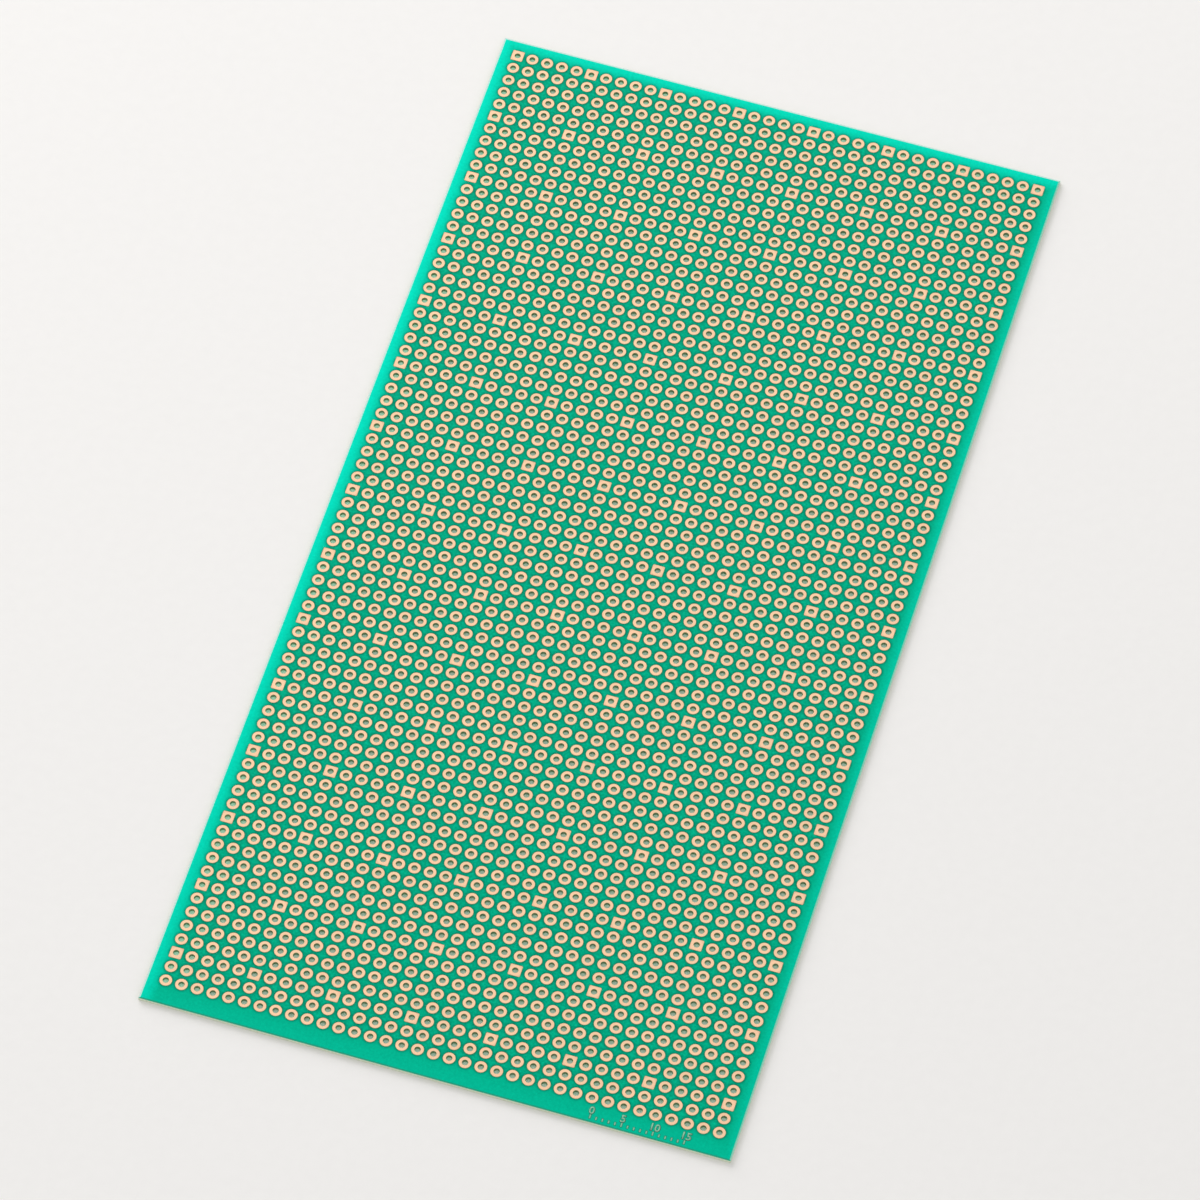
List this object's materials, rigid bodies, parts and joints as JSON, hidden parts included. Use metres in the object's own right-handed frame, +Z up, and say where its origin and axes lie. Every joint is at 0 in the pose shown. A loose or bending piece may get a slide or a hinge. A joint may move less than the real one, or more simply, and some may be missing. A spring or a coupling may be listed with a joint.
{
  "type": "perfboard",
  "caption": "Single-sided prototyping board: thin drilled laminate with a copper pad round each hole, square marker pads at a regular interval and green solder resist between them.",
  "frame": {"origin": "centre of the rectangular underside of the laminate", "axes": "+Z up through the pad side, +X along the rows of holes (the short way), +Y along the columns of holes, towards the edge with the narrower margin"},
  "size_m": [0.095, 0.19, 0.0006],
  "materials": {
    "glass_epoxy": "satin, slightly translucent glass-epoxy sheet",
    "copper": "matte bare copper with a protective film",
    "green_resist": "semi-gloss green resist film"
  },
  "bodies": {
    "root": {"laminate": "glass_epoxy", "round_pads": "copper", "square_pads": "copper", "solder_resist": "green_resist"}
  },
  "joints": []
}
